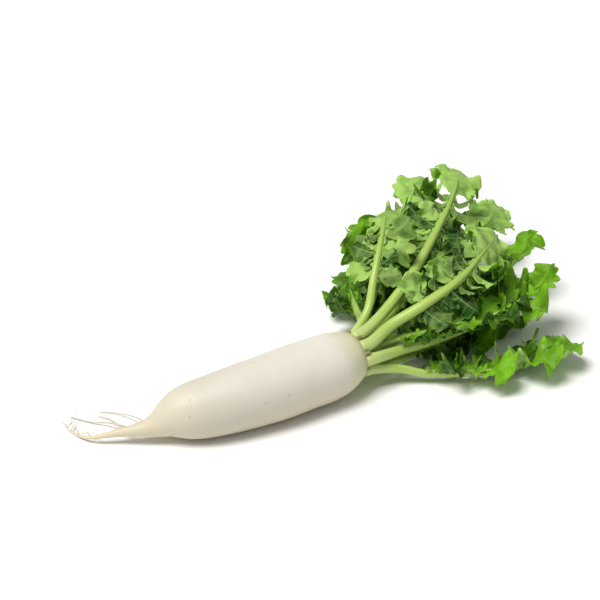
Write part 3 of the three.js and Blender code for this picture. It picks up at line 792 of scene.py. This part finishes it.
finished("old_leaf_stubs", stubs, [stub_skin], "stalk")

# ---- The bristles ---------------------------------------------------------------------------------
# Radish stalks are sparsely set with short stiff hairs, clear and colourless, that stand straight out.
# They are drawn several times as thick as they are, and fewer, or none would show.

BRISTLES = 130  # on a stalk
BRISTLE_RADIUS, BRISTLE_LENGTH, BRISTLE_SIDES = 0.12, (1.2, 2.4), 3
BRISTLE_START, BRISTLE_DEEP = 0.03, 0.96  # the share of the leaf below them, and of the stalk's width
BRISTLE_LOWEST = 2  # none are drawn that would stand in the table
PLACE_DRAW, TURN_DRAW, LENGTH_DRAW = 600, 800, 1000
BRISTLE_WHITE = "#eef2dc"

# Hair: clear and smooth, so it shows as a pale glint.
bristle, _, _ = new_material("clear_hair", Base_Color=linear(BRISTLE_WHITE), Roughness=0.3)
hairs = bmesh.new()
for leaf in LEAVES:
    _, at = midrib(leaf)
    for i in range(BRISTLES):
        share = mix(BRISTLE_START, 1 - leaf.end, draw(leaf.seed, PLACE_DRAW + i))
        point, _, up, aside = at(share)
        angle = 2 * math.pi * draw(leaf.seed, TURN_DRAW + i)
        out = aside * math.cos(angle) + up * math.sin(angle)
        across, rise = stalk_section(angle)
        foot = point + (aside * across + up * rise) * stalk_shown(leaf, share) * BRISTLE_DEEP
        if foot.z < BRISTLE_LOWEST:
            continue
        made = bmesh.ops.create_cone(
            hairs, segments=BRISTLE_SIDES, radius1=BRISTLE_RADIUS, radius2=0, depth=1, cap_ends=True
        )
        long = mix(*BRISTLE_LENGTH, draw(leaf.seed, LENGTH_DRAW + i))
        turned = out.to_track_quat("Z", "Y")
        for vert in made["verts"]:
            vert.co = foot + turned @ Vector((vert.co.x, vert.co.y, (vert.co.z + 0.5) * long))
finished("stalk_bristles", hairs, [bristle], "stalk")

# ---- The leaf blades ------------------------------------------------------------------------------
# Thin soft leaf, darker above than below. The leaflets and the end lobe grow from the midrib with a
# narrow wing between them. The flesh puffs up between the veins, and the toothed edge ruffles.

BLADE_THICKNESS = 0.45
LOWEST, TABLE_SOFTNESS = 0.5, 1  # how near the table a blade comes, and how gently it lies down
Lobe = namedtuple("Lobe", "teeth depth foot tip lean")
# Teeth on a side and how deep they are, the width at the foot and the tip for the widest, and how far
# the widest place lies towards the tip
# The powers that round a lobe and its teeth, less for blunter, and the sizes that teeth vary between
ROUND_LOBE, ROUND_TOOTH, TOOTH_SIZES = 0.75, 0.8, (0.55, 1.35)
LEAFLET, END_LOBE = Lobe(4, 0.3, 0.6, 0.25, 1.15), Lobe(6, 0.3, 0.2, 0.25, 1.3)
HALF_WIDTH = 0.48  # of a leaflet, for its length
LARGE_GRID, SMALL_GRID, END_GRID, WING_GRID = (40, 14), (26, 10), (72, 22), (120, 4)
FOOT_REACH, TIP_SHORT = -0.12, 0.12  # where a leaflet starts, in the wing, and how slanting shortens it
SLANT = 0.55  # how far the side veins lean towards the tip
PUFF = 0.026  # height of the flesh between two veins, for its length
POINTED = 0.35  # how much of a tooth is a point, where the rest is a round lobe
WAVE, END_WAVE, RUFFLE, CRUMPLE = 0.1, 0.16, 0.14, 0.3  # heights, for the leaflet's length
WAVES, WAVE_LAG = 9, 2  # radians along a leaflet, and those by which its second half lags
FOLD_EASE, CRUMPLE_EASE, PUCKER_EASE = 3, 2, 3  # with 3, it is whole from a third of the way on
NEAR_EDGE = 3  # the power that keeps ruffles and the painted edge glow near the edge
CRUMPLE_SIZE, PUCKER_SIZE, PUCKER = 12, 6, 1
# The end lobe's least width past the wing, how near the tip it comes, its rows' slant, and its fold
END_SPARE, END_REACH, END_SLANT, END_FOLD = 1.5, 0.97, 0.25, 0.25
# The wing starts a little below the leaflets and under the midrib, and widens over its first part
WING_START, WING_UNDER, WING_SPARE, WING_EASE = 0.04, 0.3, 1, 8
FRILL, FRILL_SIZE, RIPPLE, WING_RIPPLE_SIZE = 0.9, 5, 1.2, 8
# The indexes that the draws for each start from, and what is added to the seed for an end lobe
TOOTH_DRAW, PHASE_DRAW, LEAF_DRAW, LEAFLET_DRAW, END_SEED = 300, 200, 400, 401, 50
# The net of finest veins is coarser than it is, to show. A patch of colour is 16 mm across.
VEIN_NET, PATCH = 2.6, 16
VEIN_CORE, RIB_WIDTH, SIDE_WIDTH = 0.01, 0.05, 0.08  # for a leaflet's width, and for a tooth's
NET_CORE, NET_WIDTH, NET_SHOWN, VEIN_DEPTH = 0.02, 0.14, 0.22, 0.3
DARK, LIGHT = 0.62, 1.38  # what the tone and the patches add up to where it is darkest and lightest
SHINES_THROUGH = 0.4  # the share of light that comes through it
PAINTED_SHADE_TONES, HIGH = (0.5, 0.68), 120  # painted shade: a blade's tone, dark to light, as its tip lies low in the foliage or stands high
# Painted light: a blade's thin edge is drawn lighter, as if light shone through it.
TONE_VARIES, PAINTED_EDGE_GLOW, DARKEST = 0.2, 0.3, 0.12
PAINTED_SHADE_FADE, TONE_MIDDLE = 0.8, 0.75  # painted shade: darker towards the crown and lighter towards the tip, level at this share of the leaf


def on_table(point):
    """Lifts a point that would lie in the table, smoothly."""
    above = point.z - LOWEST
    point.z = LOWEST + 0.5 * (above + math.sqrt(above * above + TABLE_SOFTNESS))
    return point


def edge_at(lobe, u, seed):
    """Half the width of a lobe at u, for its widest, and how far u is from a side vein, from 0 to 1."""
    least = mix(lobe.foot, lobe.tip, u)
    body = least + (1 - least) * max(math.sin(math.pi * u**lobe.lean), 0) ** ROUND_LOBE
    number, share = divmod(u * lobe.teeth, 1)
    tooth = mix(math.sin(math.pi * share) ** ROUND_TOOTH, 1 - abs(2 * share - 1), POINTED)
    size = mix(*TOOTH_SIZES, draw(seed, TOOTH_DRAW + number))
    return body * (1 + lobe.depth * (size * tooth - 0.5)), abs(math.cos(math.pi * share))


def with_painted_edge_glow(tone):
    """A lobe's tone, with painted light glowing through its thin edge."""
    return lambda _, v: tone + PAINTED_EDGE_GLOW * abs(2 * v - 1) ** NEAR_EDGE


def crumple(flat, away, size):
    """How far the leaf's flesh stands off its own plane, where away is how far from the rib it is."""
    large = CRUMPLE * size * away * noise.noise(flat / CRUMPLE_SIZE)
    return large + PUCKER * min(PUCKER_EASE * away, 1) * noise.noise(flat / PUCKER_SIZE)


# Radish leaf: matt with short soft hairs, so its gloss is broad. Pale veins run out to the teeth, a
# net of finer ones puckers the flesh between them, and light from behind shows through it.
def blade_material(name, dark, light, vein, vein_share, roughness, fuzz):
    """One side of the blade. vein_share is how much of the veins' own colour shows."""
    material, tree, shader = new_material(
        name, Roughness=roughness, Specular_IOR_Level=0.22, Sheen_Weight=fuzz, Sheen_Roughness=0.5
    )
    place = add_node(tree, "ShaderNodeTexCoord").outputs["Object"]
    surface = add_node(tree, "ShaderNodeUVMap", uv_map="surface").outputs["UV"]
    tone = add_node(tree, "ShaderNodeAttribute", attribute_name="tone").outputs["Fac"]
    parts = add_node(tree, "ShaderNodeSeparateXYZ", {0: surface})
    teeth = add_node(tree, "ShaderNodeMath", {0: parts.outputs["X"]}, operation="FRACT")
    lines = []
    for share, width in ((parts.outputs["Y"], RIB_WIDTH), (teeth.outputs[0], SIDE_WIDTH)):
        offset = add_node(tree, "ShaderNodeMath", {0: share, 1: 0.5}, operation="SUBTRACT")
        offset = add_node(tree, "ShaderNodeMath", {0: offset.outputs[0]}, operation="ABSOLUTE")
        drawn = {0: offset.outputs[0], 1: VEIN_CORE, 2: width, 3: 1, 4: 0}
        lines.append(add_node(tree, "ShaderNodeMapRange", drawn).outputs[0])
    veins = add_node(
        tree, "ShaderNodeMath", {0: lines[0], 1: lines[1]}, operation="MAXIMUM"
    ).outputs[0]
    net = add_node(
        tree,
        "ShaderNodeTexVoronoi",
        {"Vector": place, "Scale": 1 / (VEIN_NET * MM)},
        feature="DISTANCE_TO_EDGE",
    )
    fine = add_node(
        tree,
        "ShaderNodeMapRange",
        {0: net.outputs[0], 1: NET_CORE, 2: NET_WIDTH, 3: NET_SHOWN, 4: 0},
    )
    veins = add_node(
        tree, "ShaderNodeMath", {0: veins, 1: fine.outputs[0]}, operation="MAXIMUM"
    ).outputs[0]
    patches = add_node(
        tree, "ShaderNodeTexNoise", {"Vector": place, "Scale": 1 / (PATCH * MM), "Detail": 5}
    )
    # the tone carries painted shade and a painted glow at the edge, and the patches are the leaf's own
    # colour
    shade = add_node(tree, "ShaderNodeMath", {0: patches.outputs[0], 1: tone}, operation="ADD")
    shade = add_node(tree, "ShaderNodeMapRange", {0: shade.outputs[0], 1: DARK, 2: LIGHT, 3: 0, 4: 1})
    shown = add_node(tree, "ShaderNodeMath", {0: veins, 1: vein_share}, operation="MULTIPLY")
    colour = linear(dark)
    for amount, tint in ((shade, light), (shown, vein)):
        colour = add_node(
            tree,
            "ShaderNodeMix",
            {0: amount.outputs[0], 6: colour, 7: linear(tint)},
            data_type="RGBA",
        ).outputs[2]
    tree.links.new(colour, shader.inputs["Base Color"])
    bump = add_node(
        tree,
        "ShaderNodeBump",
        {"Height": veins, "Distance": VEIN_DEPTH * MM, "Strength": 0.5},
        invert=True,
    )
    tree.links.new(bump.outputs[0], shader.inputs["Normal"])
    through = add_node(
        tree, "ShaderNodeBsdfTranslucent", {"Color": colour, "Normal": bump.outputs[0]}
    )
    both = add_node(
        tree, "ShaderNodeMixShader", {0: SHINES_THROUGH, 1: shader.outputs[0], 2: through.outputs[0]}
    )
    tree.links.new(both.outputs[0], tree.nodes["Material Output"].inputs["Surface"])
    return material


blade_top = blade_material(
    "radish_leaf_upper", "#174808", "#8cca24", "#c0e06a", vein_share=0.2, roughness=0.42, fuzz=0.05
)
blade_back = blade_material(
    "radish_leaf_under", "#226204", "#c6ec7c", "#e2f3b8", vein_share=0.25, roughness=0.55, fuzz=0.05
)

for number, leaf in enumerate(LEAVES, 1):
    length, at = midrib(leaf)
    blade = bmesh.new()
    # Painted shade: a leaf whose tip lies low, inside the foliage, is darker. The rest of its tone is drawn
    # at random.
    leaf_tone_and_painted_shade = mix(*PAINTED_SHADE_TONES, min(leaf.points[-1][2] / HIGH, 1))
    leaf_tone_and_painted_shade += TONE_VARIES * (draw(leaf.seed, LEAF_DRAW) - 0.5)
    for k, posture in enumerate(leaflets_of(leaf)):
        foot = leaflet_foot(leaf, at, posture)
        seed = leaf.seed + k
        # Painted shade: leaflets near the crown are darker and those near the tip lighter. Each leaflet
        # also differs at random.
        tone = leaf_tone_and_painted_shade + draw(seed, LEAFLET_DRAW) - 0.5 + PAINTED_SHADE_FADE * (posture.u - TONE_MIDDLE)

        def leaflet_point(u, v):
            """A point on the leaflet. Its rows lean forward from the rib, as the side veins do."""
            v = (2 * v - 1) * posture.side
            away = abs(v)
            wide, between = edge_at(LEAFLET, u, seed if v > 0 else -seed)
            wide *= HALF_WIDTH * posture.long
            reach = mix(FOOT_REACH, 1 - TIP_SHORT * SLANT, u) + SLANT * away * wide / posture.long * (1 - u)
            middle, _, face, across = leaflet_frame(foot, posture, reach)
            wave = WAVE * posture.long * math.sin(WAVES * u + posture.phase + (WAVE_LAG if v > 0 else 0))
            ruffle = math.sin(math.pi * LEAFLET.teeth * u + 2 * posture.phase)
            flat = middle + across * v * wide
            rise = away * min(FOLD_EASE * u, 1) * (posture.fold * wide + wave)
            rise += away**NEAR_EDGE * min(FOLD_EASE * u, 1) * RUFFLE * posture.long * ruffle
            rise += PUFF * posture.long * between * math.sin(math.pi * away)
            rise += min(CRUMPLE_EASE * u, 1) * crumple(flat, away, posture.long)
            return on_table(flat + face * rise)

        shaped_grid(
            blade,
            *(LARGE_GRID if posture.large else SMALL_GRID),
            leaflet_point,
            ((0, LEAFLET.teeth), (0, 1)),
            with_painted_edge_glow(max(tone, DARKEST)),
        )

    def end_point(u, v):
        """A point on the end lobe."""
        v = 1 - 2 * v
        away = abs(v)
        side = 1 if v > 0 else -1
        edge, between = edge_at(END_LOBE, u, leaf.seed + END_SEED + side)
        slot = stalk_width(leaf, mix(1 - leaf.end, 1, u)) + STALK_GAP
        lobe = max(leaf.end_width * edge, slot + WING_WIDTH + END_SPARE)
        share = mix(1 - leaf.end, 1, u * END_REACH + END_SLANT * SLANT * away * lobe / length * (1 - u))
        point, _, up, aside = at(share)
        across = away * lobe
        phase = 2 * math.pi * draw(leaf.seed, PHASE_DRAW + side)
        wave = END_WAVE * lobe * math.sin(WAVES * u + phase) * max(2 * away - 1, 0)
        ruffle = RUFFLE * lobe * away**NEAR_EDGE * math.sin(math.pi * END_LOBE.teeth * u + leaf.seed)
        puff = PUFF * leaf.end_width * between * math.sin(math.pi * away)
        flat = point + aside * side * across
        rise = END_FOLD * max(across - slot, 0) + wave + ruffle + puff
        rise += crumple(flat, away, 2 * lobe)
        return on_table(flat + up * rise)

    # the end lobe and the wings carry the leaf's painted shade and its painted edge glow
    end_painted_tone = with_painted_edge_glow(leaf_tone_and_painted_shade)
    shaped_grid(blade, *END_GRID, end_point, ((0, END_LOBE.teeth), (0, 1)), end_painted_tone)
    for side in (-1, 1):

        def wing_point(u, v):
            """A point on the narrow wing beside the midrib, with small uneven frills on its edge."""
            share = mix(leaf.bare - WING_START, 1 - leaf.end, u)
            point, _, up, aside = at(share)
            half = stalk_width(leaf, share)
            out = v if side < 0 else 1 - v
            frill = 1 + FRILL * noise.noise(Vector((share * length / FRILL_SIZE, side, leaf.seed)))
            across = half * WING_UNDER + out * (WING_WIDTH + WING_SPARE) * frill * min(WING_EASE * u, 1)
            lift = SEAM_HEIGHT * half
            along_wing = Vector((share * length / WING_RIPPLE_SIZE, leaf.seed, side))
            lift += out * RIPPLE * noise.noise(along_wing)
            return on_table(point + aside * side * across + up * lift)

        shaped_grid(blade, *WING_GRID, wing_point, ((0, 0), (0, 0)), end_painted_tone)
    node = f"leaf_{number:02d}_blade"
    piece = finished(f"{node}_fine", blade, [blade_top, blade_back], "blade", node)
    body = piece.modifiers.new("thickness", "SOLIDIFY")
    body.thickness = BLADE_THICKNESS * MM
    body.offset = 0
    body.material_offset = 1
